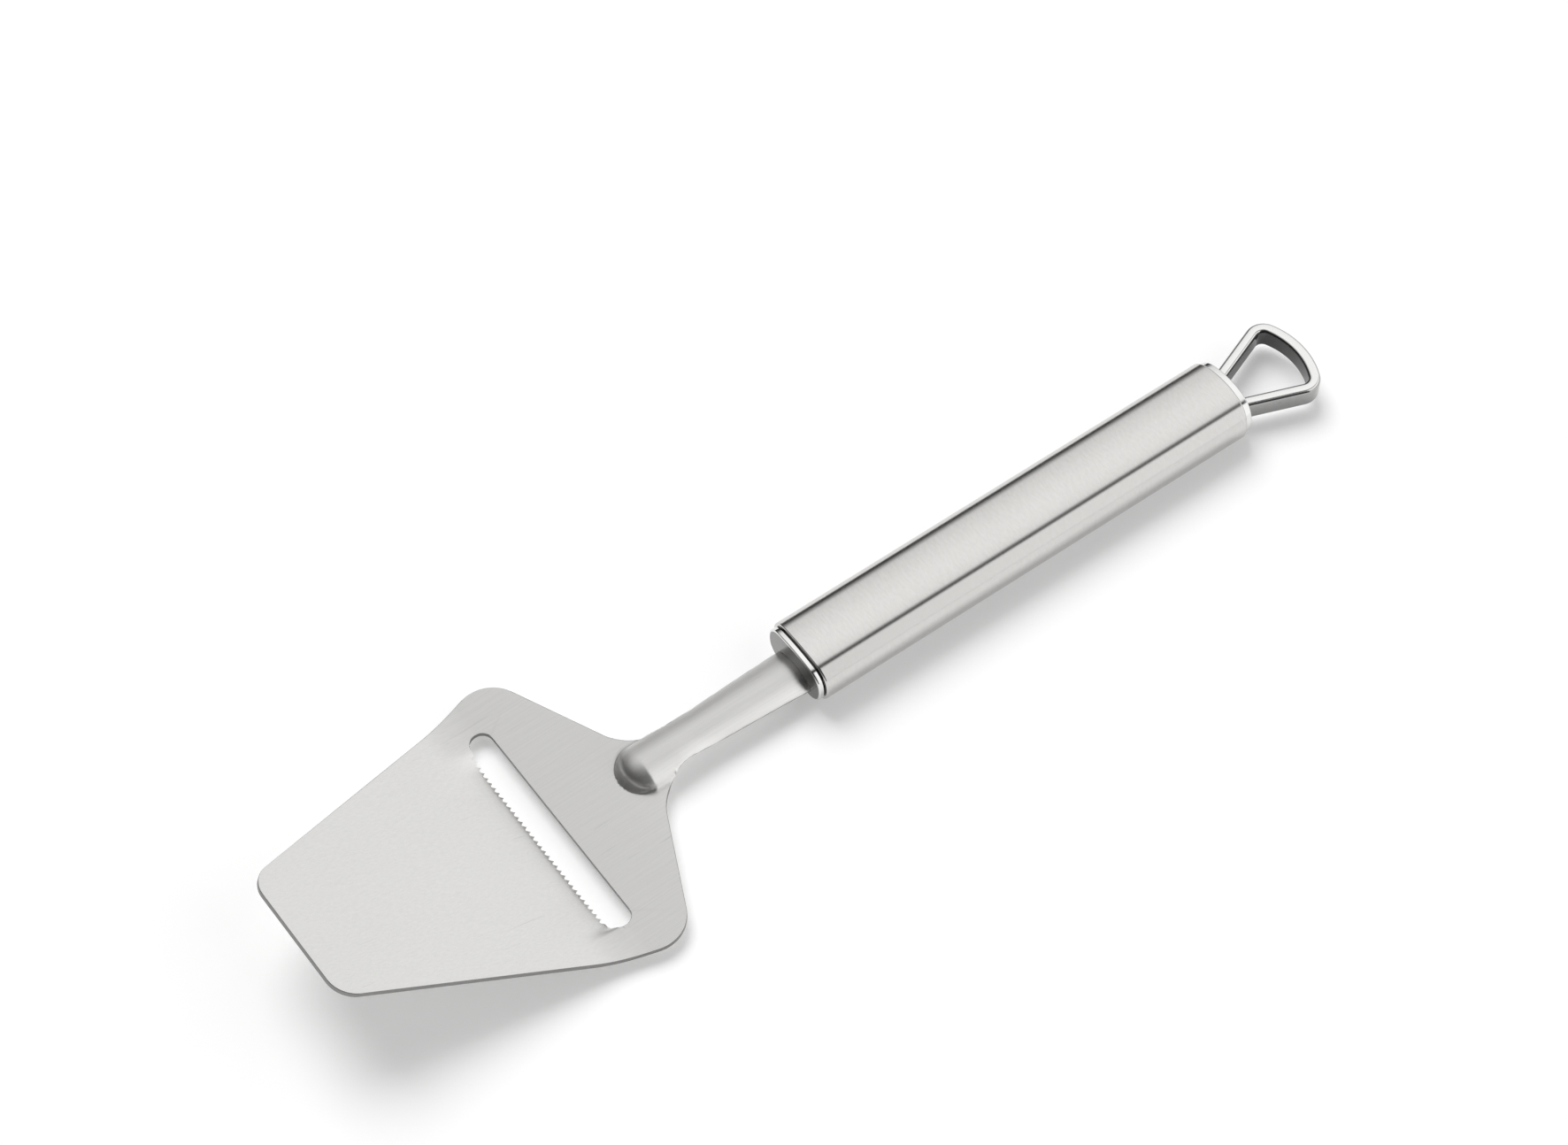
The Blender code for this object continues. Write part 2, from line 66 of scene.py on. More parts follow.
def vertsOf(geom):
    return [item for item in geom if isinstance(item, bmesh.types.BMVert)]


def facesOf(geom):
    return [item for item in geom if isinstance(item, bmesh.types.BMFace)]


class Pen:
    # Draws a wire: a vertex is extruded for a straight run and spun for an arc.
    def __init__(self, mesh, start):
        self.mesh = mesh
        self.tip = mesh.verts.new(start)

    def line(self, end):
        made = bmesh.ops.extrude_vert_indiv(self.mesh, verts=[self.tip])
        self.tip = made["verts"][0]
        self.tip.co = Vector(end)

    def arc(self, center, axis, angle, steps):
        made = bmesh.ops.spin(self.mesh, geom=[self.tip], cent=center, axis=axis, angle=angle, steps=steps)
        self.tip = vertsOf(made["geom_last"])[0]

    def corner(self, corner, after, radius, steps):
        corner = Vector(corner)
        backward = (self.tip.co - corner).normalized()
        onward = (Vector(after) - corner).normalized()
        half = backward.angle(onward) / 2.0
        center = corner + (backward + onward).normalized() * radius / math.sin(half)
        self.line(corner + backward * radius / math.tan(half))
        self.arc(center, onward.cross(backward), math.pi - 2.0 * half, steps)


def addPiece(name, mesh, materials, node, sharpAngle):
    bmesh.ops.remove_doubles(mesh, verts=mesh.verts, dist=samePoint)
    bmesh.ops.recalc_face_normals(mesh, faces=mesh.faces)
    for edge in mesh.edges:
        if edge.calc_face_angle(math.pi) > math.radians(sharpAngle):
            edge.smooth = False
    mesh.transform(toRow)
    data = bpy.data.meshes.new(name)
    mesh.to_mesh(data)
    mesh.free()
    for material in materials:
        data.materials.append(material)
    data.polygons.foreach_set("use_smooth", [True] * len(data.polygons))
    piece = bpy.data.objects.new(name, data)
    bpy.context.scene.collection.objects.link(piece)
    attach(piece, "root")
    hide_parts(node)
    print("piece", name, len(data.polygons), "faces")
    return piece


def layGrain(piece, away):
    # The shader's own tangent circles the middle of the texture space: a middle far away makes it straight.
    piece.data.use_auto_texspace = False
    piece.data.texspace_location = away * far
    piece.data.texspace_size = (1.0, 1.0, 1.0)


class Field:
    # A shader socket that takes plain arithmetic.
    def __init__(self, tree, socket):
        self.tree = tree
        self.socket = socket

    def maths(self, operation, *values):
        sockets = dict(enumerate(values))
        return self.tree.node("ShaderNodeMath", {"operation": operation}, sockets)

    def __add__(self, other):
        return self.maths("ADD", self, other)

    def __radd__(self, other):
        return self.maths("ADD", other, self)

    def __sub__(self, other):
        return self.maths("SUBTRACT", self, other)

    def __rsub__(self, other):
        return self.maths("SUBTRACT", other, self)

    def __mul__(self, other):
        return self.maths("MULTIPLY", self, other)

    def step(self, first, last):
        settings = {"interpolation_type": "SMOOTHSTEP", "clamp": True}
        return self.tree.node("ShaderNodeMapRange", settings, {0: self, 1: first, 2: last, 3: 0.0, 4: 1.0})


class Tree:
    # Makes the nodes of one material or world.
    def __init__(self, owner):
        owner.use_nodes = True
        self.tree = owner.node_tree
        self.tree.nodes.clear()

    def node(self, kind, settings=None, sockets=None, output=0):
        made = self.tree.nodes.new(kind)
        for key, value in (settings or {}).items():
            setattr(made, key, value)
        for key, value in (sockets or {}).items():
            if isinstance(value, Field):
                self.tree.links.new(value.socket, made.inputs[key])
            else:
                made.inputs[key].default_value = value
        return Field(self, made.outputs[output]) if made.outputs else None

    def mixColors(self, share, first, second):
        settings = {"data_type": "RGBA", "blend_type": "MIX"}
        return self.node("ShaderNodeMix", settings, {0: share, 6: first, 7: second}, 2)

    def noise(self, place, scales, detail, roughness=0.5):
        mapped = self.node("ShaderNodeMapping", {}, {"Vector": place, "Scale": scales})
        return self.node("ShaderNodeTexNoise", {}, {"Vector": mapped, "Scale": 1.0, "Detail": detail,
                                                    "Roughness": roughness})


# Noise in every steel
grainDetail = 5.0
grainSharpness = 0.65
patchDetail = 3.0
scratchDetail = 2.0
middle = 0.5  # of a noise, and of the mix of two tones


def makeSteel(name, look):
    material = bpy.data.materials.new(name)
    tree = Tree(material)
    place = tree.node("ShaderNodeTexCoord", {}, {}, "Object")
    grain = tree.noise(place, look["grainScale"], grainDetail, grainSharpness) - middle
    patches = tree.noise(place, look["patchScale"], patchDetail) - middle
    scratches = tree.noise(place, look["scratchScale"], scratchDetail)
    scratches = scratches.step(look["scratchFrom"], look["scratchTo"])
    tone = middle + grain * look["grainTone"] + patches * look["patchTone"]
    color = tree.mixColors(tone, look["dark"], look["light"])
    color = tree.mixColors(scratches * look["scratchTone"], color, look["scratchColor"])
    roughness = look["roughness"] + grain * look["grainRoughness"] + patches * look["patchRoughness"]
    bump = tree.node("ShaderNodeBump", {}, {"Strength": look["bump"], "Distance": look["bumpDistance"],
                                            "Height": grain})
    shader = tree.node("ShaderNodeBsdfPrincipled", {}, {
        "Base Color": color, "Metallic": 1.0, "Roughness": roughness, "Anisotropic": look["anisotropy"],
        "Normal": bump})
    tree.node("ShaderNodeOutputMaterial", {}, {"Surface": shader})
    return material


bladeLook = {
    "grainScale": (60.0, 3000.0, 3000.0), "patchScale": (30.0, 55.0, 55.0),
    "scratchScale": (60.0, 1500.0, 90.0), "dark": (0.76, 0.754, 0.739, 1.0),
    "light": (0.95, 0.942, 0.925, 1.0), "grainTone": 1.0, "patchTone": 0.25, "scratchFrom": 0.70,
    "scratchTo": 0.76, "scratchTone": 0.25, "scratchColor": (0.5, 0.5, 0.49, 1.0), "roughness": 0.36,
    "grainRoughness": 0.08, "patchRoughness": 0.04, "bump": 0.25, "bumpDistance": 0.00003,
    "anisotropy": 0.95,
}
tubeLook = {
    "grainScale": (2600.0, 700.0, 700.0), "patchScale": (60.0, 60.0, 60.0),
    "scratchScale": (1500.0, 70.0, 70.0), "dark": (0.54, 0.531, 0.52, 1.0),
    "light": (0.74, 0.729, 0.711, 1.0), "grainTone": 0.7, "patchTone": 0.20, "scratchFrom": 0.72,
    "scratchTo": 0.78, "scratchTone": 0.15, "scratchColor": (0.55, 0.54, 0.53, 1.0), "roughness": 0.22,
    "grainRoughness": 0.08, "patchRoughness": 0.03, "bump": 0.08, "bumpDistance": 0.00002,
    "anisotropy": 0.75,
}
polishedLook = {
    "grainScale": (900.0, 900.0, 900.0), "patchScale": (120.0, 120.0, 120.0),
    "scratchScale": (400.0, 90.0, 90.0), "dark": (0.68, 0.68, 0.67, 1.0),
    "light": (0.86, 0.86, 0.85, 1.0), "grainTone": 0.12, "patchTone": 0.15, "scratchFrom": 0.74,
    "scratchTo": 0.80, "scratchTone": 0.08, "scratchColor": (0.6, 0.6, 0.59, 1.0), "roughness": 0.09,
    "grainRoughness": 0.03, "patchRoughness": 0.03, "bump": 0.02, "bumpDistance": 0.00002,
    "anisotropy": 0.0,
}
loopLook = {
    "grainScale": (700.0, 700.0, 700.0), "patchScale": (160.0, 160.0, 160.0),
    "scratchScale": (300.0, 300.0, 900.0), "dark": (0.66, 0.658, 0.65, 1.0),
    "light": (0.84, 0.838, 0.83, 1.0), "grainTone": 0.3, "patchTone": 0.25, "scratchFrom": 0.70,
    "scratchTo": 0.78, "scratchTone": 0.12, "scratchColor": (0.56, 0.557, 0.55, 1.0), "roughness": 0.17,
    "grainRoughness": 0.06, "patchRoughness": 0.04, "bump": 0.05, "bumpDistance": 0.00002,
    "anisotropy": 0.0,
}
dullAndShadedLook = {  # the caps' flat ends and the front cap's gap: a duller unpolished finish, darkened further as painted shade
    "grainScale": (1200.0, 1200.0, 500.0), "patchScale": (200.0, 200.0, 200.0),
    "scratchScale": (300.0, 300.0, 900.0), "dark": (0.19, 0.188, 0.185, 1.0),
    "light": (0.29, 0.288, 0.284, 1.0), "grainTone": 0.5, "patchTone": 0.4, "scratchFrom": 0.68,
    "scratchTo": 0.78, "scratchTone": 0.2, "scratchColor": (0.17, 0.168, 0.165, 1.0), "roughness": 0.20,
    "grainRoughness": 0.08, "patchRoughness": 0.05, "bump": 0.06, "bumpDistance": 0.00002,
    "anisotropy": 0.0,
}
# The loop's outer and inner walls: a duller side finish darkened as painted shade, the inner walls that face
# the eye darkest
outsideDullShadeLook = {**dullAndShadedLook, "dark": (0.33, 0.328, 0.324, 1.0), "light": (0.47, 0.467, 0.461, 1.0)}
insideDullShadeLook = {**dullAndShadedLook, "dark": (0.09, 0.089, 0.088, 1.0), "light": (0.15, 0.149, 0.147, 1.0)}
shearedEdgeShadeLook = {  # the sheared rim of the sheet, not brushed, its base darkened further as painted shade along the edge
    "grainScale": (900.0, 900.0, 2500.0), "patchScale": (150.0, 150.0, 150.0),
    "scratchScale": (600.0, 600.0, 90.0), "dark": (0.20, 0.198, 0.195, 1.0),
    "light": (0.36, 0.357, 0.35, 1.0), "grainTone": 0.6, "patchTone": 0.3, "scratchFrom": 0.66,
    "scratchTo": 0.76, "scratchTone": 0.3, "scratchColor": (0.45, 0.446, 0.44, 1.0), "roughness": 0.45,
    "grainRoughness": 0.15, "patchRoughness": 0.1, "bump": 0.2, "bumpDistance": 0.00003,
    "anisotropy": 0.0,
}
weldLook = {
    "grainScale": (1500.0, 1500.0, 1500.0), "patchScale": (300.0, 300.0, 300.0),
    "scratchScale": (500.0, 500.0, 500.0), "dark": (0.28, 0.27, 0.26, 1.0),
    "light": (0.56, 0.54, 0.52, 1.0), "grainTone": 0.5, "patchTone": 0.5, "scratchFrom": 0.60,
    "scratchTo": 0.75, "scratchTone": 0.4, "scratchColor": (0.2, 0.18, 0.16, 1.0), "roughness": 0.5,
    "grainRoughness": 0.2, "patchRoughness": 0.1, "bump": 0.4, "bumpDistance": 0.0001, "anisotropy": 0.0,
}
bladeSteel = makeSteel("blade_brushed", bladeLook)
tubeSteel = makeSteel("tube_satin", tubeLook)
shearedEdgeShadeSteel = makeSteel("sheared_edge_painted_shade", shearedEdgeShadeLook)
polishedSteel = makeSteel("polished", polishedLook)
loopSteel = makeSteel("loop_satin", loopLook)
dullAndShadedSteel = makeSteel("unpolished_painted_shade", dullAndShadedLook)
outsideDullShadeSteel = makeSteel("loop_outside_painted_shade", outsideDullShadeLook)
insideDullShadeSteel = makeSteel("loop_inside_painted_shade", insideDullShadeLook)
weldSteel = makeSteel("weld", weldLook)
print("materials made")


# Blade: one sheet, cut flat, then bent and pressed. u runs along the sheet from the bend line.
blade = {
    "sheet": 1.0, "bendX": -65.46, "bendAngle": math.radians(20.0), "bendRadius": 25.0, "rearLevel": -4.25,
    "tip": (-54.7, 15.5), "tipRadius": 5.8, "tipSteps": 14,
    "shoulder": (14.57, 36.45), "shoulderRadius": 7.8, "shoulderSteps": 28,
    "neck": (29.66, 4.15), "neckRadius": 12.0, "neckSteps": 32,
    "shankEnd": (65.46, 5.6), "tangLength": 14.0, "tangRadius": 1.0, "tangSteps": 4,
    "slotRear": 8.36, "slotFront": 3.5, "slotHalfLength": 26.25, "slotEndSteps": 18,
    "teeth": 34, "toothPitch": 1.35, "toothDepth": 0.85, "toothSteps": 8,
    "toothMargin": 0.05, "toothReach": 1.0,
    "curlDrop": 0.6, "curlStart": -16.0, "curlFade": 12.0, "lipDrop": 0.5, "lipStart": -1.0,
    "lipEnds": (26.0, 26.2), "lipFades": (7.0, 2.6),
    "ribHeight": 4.65, "domeX": -37.4, "domeHalfWidth": 5.3, "shankHalfWidth": 6.1, "widenX": -34.0,
    "widenLength": 34.0, "rearSlope": 0.03, "fadeX": -31.0, "fadeLength": 15.0,
    "footBlend": 1.6, "waistBlend": 4.6, "waistX": -43.0, "waistLength": 5.5,
    "bendPitch": 0.55, "fadePitch": 0.4, "curlPitch": 0.8, "domePitch": 0.2, "neckPitch": 0.5,
    "shankPitch": 2.0, "neckMargin": 1.2, "normalStep": 0.03, "chamfer": 0.08, "sharpAngle": 55.0,
}
bendTangent = blade["bendRadius"] * math.tan(blade["bendAngle"] / 2.0)
bendEnd = bendTangent - blade["bendRadius"] * blade["bendAngle"]
slotMiddle = (blade["slotRear"] + blade["slotFront"]) / 2.0


def neckRelief(x, y):
    # Height of the rear over its flat sheet: the greater of rib and slope, with a smooth foot.
    fade = 1.0 - smoothStep((x - blade["fadeX"]) / blade["fadeLength"])
    rise = fade * blade["rearSlope"] * (x - blade["bendX"] - slotMiddle)
    widening = smoothStep((x - blade["widenX"]) / blade["widenLength"])
    halfWidth = blade["domeHalfWidth"] + widening * (blade["shankHalfWidth"] - blade["domeHalfWidth"])
    reach = math.hypot(min(x - blade["domeX"], 0.0), y) / halfWidth
    rib = math.copysign(blade["ribHeight"] * math.sqrt(abs(1.0 - reach ** 2)), 1.0 - reach)
    blend = fade * smoothStep((x - blade["waistX"]) / blade["waistLength"])
    blend = blade["footBlend"] + blend * (blade["waistBlend"] - blade["footBlend"])
    near = max(blend - abs(rib - rise), 0.0) / blend
    return max(rib, rise) + near ** 2 * blend / 4.0


def bentSheet(u):
    if u >= bendTangent:
        return blade["bendX"] + u, blade["rearLevel"]
    turned = min((bendTangent - u) / blade["bendRadius"], blade["bendAngle"])
    straight = max(0.0, bendEnd - u)
    x = blade["bendX"] + bendTangent - blade["bendRadius"] * math.sin(turned)
    z = blade["rearLevel"] + blade["bendRadius"] * (1.0 - math.cos(turned))
    return x - straight * math.cos(blade["bendAngle"]), z + straight * math.sin(blade["bendAngle"])


def bladePoint(u, y):
    x, z = bentSheet(u)
    if blade["curlStart"] < u < slotMiddle:  # the lip runs on along the front slope and is pressed down
        side = 0 if y > 0.0 else 1
        fromEnd = blade["lipEnds"][side] - abs(y)
        share = smoothStep(fromEnd / blade["lipFades"][side])
        beyond = max(0.0, u - bendEnd)
        endX, endZ = bentSheet(bendEnd)
        slopeX = endX + beyond * math.cos(blade["bendAngle"]) if beyond else x
        slopeZ = endZ - beyond * math.sin(blade["bendAngle"]) if beyond else z
        x += share * (slopeX - x)
        z += share * (slopeZ - z)
        for kind, part in (("curl", smoothStep(fromEnd / blade["curlFade"])), ("lip", share)):
            start = blade[kind + "Start"]
            pressed = min(max(u - start, 0.0) / (blade["slotFront"] - start), 1.0) ** 2
            z -= part * blade[kind + "Drop"] * pressed
    elif u > slotMiddle:
        z += neckRelief(x, y)
    return Vector((x, y, z))


def bladeNormal(u, y):
    step = blade["normalStep"]
    along = bladePoint(u + step, y) - bladePoint(u - step, y)
    across = bladePoint(u, y + step) - bladePoint(u, y - step)
    return along.cross(across).normalized()


def cutSheet(mesh, normal, stations, firstU, lastU):
    for station in stations:
        faces = [face for face in mesh.faces if firstU < face.calc_center_median().x < lastU]
        edges = {edge for face in faces for edge in face.edges}
        verts = {vert for face in faces for vert in face.verts}
        bmesh.ops.bisect_plane(mesh, geom=faces + list(edges) + list(verts), dist=samePoint / 2.0,
                               plane_co=normal * station, plane_no=normal)


def drawBladeOutline(mesh):
    tangCorner = (blade["shankEnd"][0] + blade["tangLength"], blade["shankEnd"][1], 0.0)
    corners = [Vector((*blade[key], 0.0)) for key in ("tip", "shoulder", "neck", "shankEnd")]
    tip, shoulder, neck, shankEnd = corners
    pen = Pen(mesh, (tip.x, 0.0, 0.0))
    pen.corner(tip, shoulder, blade["tipRadius"], blade["tipSteps"])
    pen.corner(shoulder, neck, blade["shoulderRadius"], blade["shoulderSteps"])
    pen.corner(neck, shankEnd, blade["neckRadius"], blade["neckSteps"])
    pen.line(shankEnd)
    pen.corner(tangCorner, (tangCorner[0], 0.0, 0.0), blade["tangRadius"], blade["tangSteps"])
    pen.line((tangCorner[0], 0.0, 0.0))


def drawSlot(mesh):
    endRadius = (blade["slotRear"] - blade["slotFront"]) / 2.0
    endY = blade["slotHalfLength"] - endRadius
    pen = Pen(mesh, (blade["slotRear"], 0.0, 0.0))
    pen.line((blade["slotRear"], endY, 0.0))
    pen.arc((slotMiddle, endY, 0.0), axisZ, math.pi, blade["slotEndSteps"])
    half = blade["teeth"] // 2
    pen.line((blade["slotFront"], half * blade["toothPitch"], 0.0))
    for tooth in range(half):
        for step in range(1, blade["toothSteps"] + 1):
            along = step / blade["toothSteps"]
            notch = blade["toothDepth"] * (1.0 - (2.0 * along - 1.0) ** 2)
            pen.line((blade["slotFront"] - notch, (half - tooth - along) * blade["toothPitch"], 0.0))


def makeBlade():
    mesh = bmesh.new()
    drawBladeOutline(mesh)
    drawSlot(mesh)
    bmesh.ops.mirror(mesh, geom=mesh.verts[:] + mesh.edges[:], axis="Y", merge_dist=samePoint)
    bmesh.ops.remove_doubles(mesh, verts=mesh.verts, dist=samePoint)
    bmesh.ops.triangle_fill(mesh, use_beauty=True, edges=mesh.edges[:], normal=axisZ)
    cutSheet(mesh, axisX, spread(blade["curlStart"], blade["slotRear"], blade["bendPitch"]), -far, far)
    fadeStart = blade["lipEnds"][0] - blade["lipFades"][0]
    fadeLines = spread(fadeStart, blade["slotHalfLength"], blade["fadePitch"])
    fadeLines += spread(blade["slotHalfLength"] - blade["curlFade"], fadeStart, blade["curlPitch"])
    fadeLines += [-line for line in fadeLines] + [0.0]
    cutSheet(mesh, axisY, fadeLines, blade["curlStart"], blade["slotRear"])
    domeU = blade["domeX"] - blade["bendX"]
    neckStart = domeU - blade["domeHalfWidth"] - blade["neckMargin"]
    domeEnd = domeU + blade["neckMargin"]
    filletEnd = domeEnd + blade["neckRadius"]
    cutSheet(mesh, axisX, [neckStart], -far, far)
    lines = spread(neckStart, domeEnd, blade["domePitch"])[1:]
    lines += spread(domeEnd, filletEnd, blade["neckPitch"])[1:]
    tangEnd = blade["shankEnd"][0] + blade["tangLength"] - blade["tangRadius"]
    lines += spread(filletEnd, tangEnd, blade["shankPitch"])[1:]
    cutSheet(mesh, axisX, lines, neckStart, far)
    halfWidth = blade["shankHalfWidth"] + blade["neckMargin"]
    cutSheet(mesh, axisY, spread(-halfWidth, halfWidth, blade["domePitch"]), neckStart, far)
    toothLine = blade["slotFront"] + blade["toothMargin"]
    rim = [edge for edge in mesh.edges if edge.is_boundary
           and not all(0.0 < toothLine - vert.co.x < blade["toothReach"]
                       and abs(vert.co.y) < blade["slotHalfLength"] for vert in edge.verts)]
    rimVerts = {vert for edge in rim for vert in edge.verts}
    upper, flat = set(mesh.verts), set(mesh.faces)
    extruded = bmesh.ops.extrude_face_region(mesh, geom=mesh.faces[:], use_keep_orig=True)
    lower = set(vertsOf(extruded["geom"]))
    flat |= set(facesOf(extruded["geom"]))
    # The rim's wall faces take the dark edge steel: a sheared finish with painted shade.
    for face in mesh.faces:
        if face not in flat and all(vert in rimVerts for vert in face.verts if vert in upper):
            face.material_index = 1
    for vert in upper | lower:
        u, y = vert.co.x, vert.co.y
        vert.co = bladePoint(u, y)
        if vert in lower:
            vert.co -= bladeNormal(u, y) * blade["sheet"]
    made = bmesh.ops.bevel(mesh, geom=rim, offset=blade["chamfer"], offset_type="OFFSET", segments=1,
                           profile=0.5, affect="EDGES", material=-1, clamp_overlap=False)
    # The chamfer faces take the same dark edge steel, painted shade along the rim.
    for face in made["faces"]:
        face.material_index = 1
        for edge in face.edges:
            edge.smooth = False
    steels = (bladeSteel, shearedEdgeShadeSteel)
    piece = addPiece("blade_sheet", mesh, steels, "blade", blade["sharpAngle"])
    layGrain(piece, -axisX)


# Handle: an oval of two crowned faces, two rounder sides and four corner arcs
oval = {"halfWidth": 9.25, "halfHeight": 5.75, "crown": 45.0, "side": 9.0, "corner": 4.5,
        "crownSteps": 10, "cornerSteps": 22, "sideSteps": 12}
tube = {"wall": 0.9, "front": 1.5, "rear": 109.9, "frontRim": 0.4, "rearRim": 0.5, "rimSteps": 8,
        "support": 0.06, "dome": 0.6, "domeWidth": 6.5, "domeReach": 6.0, "domePitch": 1.0,
        "sharpAngle": 40.0}
cap = {"inset": 0.6, "frontFlange": 1.05, "rearFlange": 1.42, "rim": 0.35, "rimSteps": 6, "spigot": 2.5,
       "fit": 0.3, "support": 0.05, "shankGap": 0.08, "cutMiddle": 2.0, "cutHalf": 6.0, "cutSteps": 60,
       "sharpAngle": 40.0}
capSteels = (polishedSteel, dullAndShadedSteel)


def ovalCorner():
    crown = Vector((0.0, oval["halfHeight"] - oval["crown"]))
    side = Vector((oval["halfWidth"] - oval["side"], 0.0))
    apart = (side - crown).length
    toward = (side - crown) / apart
    crownReach = oval["crown"] - oval["corner"]
    sideReach = oval["side"] - oval["corner"]
    forward = (crownReach ** 2 - sideReach ** 2 + apart ** 2) / (2.0 * apart)
    aside = math.sqrt(crownReach ** 2 - forward ** 2)
    return crown + toward * forward + Vector((toward.y, -toward.x)) * aside


def drawOval(mesh, x, inset):
    before = set(mesh.edges)
    y, z = ovalCorner()
    crownZ = oval["halfHeight"] - oval["crown"]
    sideY = oval["halfWidth"] - oval["side"]
    crownTurn = math.atan2(y, z - crownZ)
    sideTurn = math.atan2(y - sideY, z)
    cornerTurn = sideTurn - crownTurn
    flank = math.pi - 2.0 * sideTurn
    pen = Pen(mesh, (x, 0.0, oval["halfHeight"] - inset))
    for centerY, centerZ, turn, steps in (
            (0.0, crownZ, crownTurn, oval["crownSteps"]), (y, z, cornerTurn, oval["cornerSteps"]),
            (sideY, 0.0, flank, oval["sideSteps"]), (y, -z, cornerTurn, oval["cornerSteps"]),
            (0.0, -crownZ, 2.0 * crownTurn, 2 * oval["crownSteps"]),
            (-y, -z, cornerTurn, oval["cornerSteps"]),
            (-sideY, 0.0, flank, oval["sideSteps"]), (-y, z, cornerTurn, oval["cornerSteps"]),
            (0.0, crownZ, crownTurn, oval["crownSteps"])):
        pen.arc((x, centerY, centerZ), -axisX, turn, steps)
    bmesh.ops.remove_doubles(mesh, verts=mesh.verts, dist=samePoint)
    return [edge for edge in mesh.edges if edge not in before]


def roundRim(mesh, edges, radius, steps):
    bmesh.ops.bevel(mesh, geom=edges, offset=radius, offset_type="OFFSET", segments=steps, profile=0.5,
                    affect="EDGES", material=-1, clamp_overlap=False)


def edgesAt(mesh, x):
    return [edge for edge in mesh.edges if all(abs(vert.co.x - x) < samePoint for vert in edge.verts)]


def domeRear(mesh):
    # The handle's rear end stands out in the middle.
    for vert in mesh.verts:
        if vert.co.x > tube["rear"] - tube["domeReach"]:
            vert.co.x += tube["dome"] * (1.0 - (vert.co.y / tube["domeWidth"]) ** 2)


def looksOutward(face):
    # True on the tube's outer wall.
    center = face.calc_center_median()
    return face.normal.y * center.y + face.normal.z * center.z > samePoint


def makeTube():
    mesh = bmesh.new()
    ring = drawOval(mesh, tube["front"], 0.0)
    bore = bmesh.ops.contextual_create(mesh, geom=ring)["faces"]
    bmesh.ops.inset_region(mesh, faces=bore, thickness=tube["wall"], use_boundary=True, use_even_offset=True)
    bmesh.ops.delete(mesh, geom=bore, context="FACES_ONLY")
    made = bmesh.ops.extrude_face_region(mesh, geom=mesh.faces[:], use_keep_orig=True)["geom"]
    bmesh.ops.translate(mesh, vec=axisX * (tube["rear"] - tube["front"]), verts=vertsOf(made))
    bmesh.ops.recalc_face_normals(mesh, faces=mesh.faces)
    mesh.normal_update()
    for x, radius in ((tube["front"], tube["frontRim"]), (tube["rear"], tube["rearRim"])):
        rim = [edge for edge in edgesAt(mesh, x) if any(looksOutward(face) for face in edge.link_faces)]
        roundRim(mesh, rim, radius, tube["rimSteps"])
    frontSupport = tube["front"] + tube["frontRim"] + tube["support"]
    rearSupport = tube["rear"] - tube["rearRim"] - tube["support"]
    for x in (frontSupport, rearSupport):
        bmesh.ops.bisect_plane(mesh, geom=mesh.verts[:] + mesh.edges[:] + mesh.faces[:], dist=samePoint / 2.0,
                               plane_co=axisX * x, plane_no=axisX)
    domeRear(mesh)
    piece = addPiece("handle_shell", mesh, (tubeSteel,), "handle_tube", tube["sharpAngle"])
    layGrain(piece, -axisY)


def capBody(outerX, outward, flange, gapSlot):
    mesh = bmesh.new()
    rim = drawOval(mesh, outerX, cap["inset"])
    face = bmesh.ops.contextual_create(mesh, geom=rim)["faces"][0]
    made = bmesh.ops.extrude_face_region(mesh, geom=[face])
    bmesh.ops.translate(mesh, vec=axisX * -outward * flange, verts=vertsOf(made["geom"]))
    inner = facesOf(made["geom"])
    shoulder = tube["wall"] + cap["fit"] - cap["inset"]
    bmesh.ops.inset_region(mesh, faces=inner, thickness=shoulder, use_even_offset=True)
    made = bmesh.ops.extrude_face_region(mesh, geom=inner)
    bmesh.ops.delete(mesh, geom=[face for face in inner if face.is_valid], context="FACES_ONLY")
    bmesh.ops.translate(mesh, vec=axisX * -outward * cap["spigot"], verts=vertsOf(made["geom"]))
    bmesh.ops.recalc_face_normals(mesh, faces=mesh.faces)
    roundRim(mesh, edgesAt(mesh, outerX), cap["rim"], cap["rimSteps"])
    ends = [face for face in mesh.faces if all(abs(vert.co.x - outerX) < samePoint for vert in face.verts)]
    bmesh.ops.inset_region(mesh, faces=ends, thickness=cap["support"], use_even_offset=True)
    # The flat ends, and the gap faces when gapSlot is 1, take the dark steel: painted shade over a duller
    # finish.
    for face in mesh.faces:
        if abs(face.calc_center_median().x - outerX) > flange - samePoint:
            face.material_index = gapSlot
    for face in ends:
        face.material_index = 1
    return mesh


def cutAway(mesh, cutter):
    # The mesh less the cutter, as a new bmesh.
    objects = []
    for name, source in (("body", mesh), ("cutter", cutter)):
        bmesh.ops.recalc_face_normals(source, faces=source.faces)
        data = bpy.data.meshes.new(name)
        for material in capSteels:
            data.materials.append(material)
        source.to_mesh(data)
        source.free()
        objects.append(bpy.data.objects.new(name, data))
        bpy.context.scene.collection.objects.link(objects[-1])
    modifier = objects[0].modifiers.new("cut", "BOOLEAN")
    modifier.operation = "DIFFERENCE"
    modifier.solver = "EXACT"
    modifier.object = objects[1]
    graph = bpy.context.evaluated_depsgraph_get()
    result = bmesh.new()
    result.from_object(objects[0], graph)
    for item in objects:
        bpy.data.objects.remove(item, do_unlink=True)
    return result


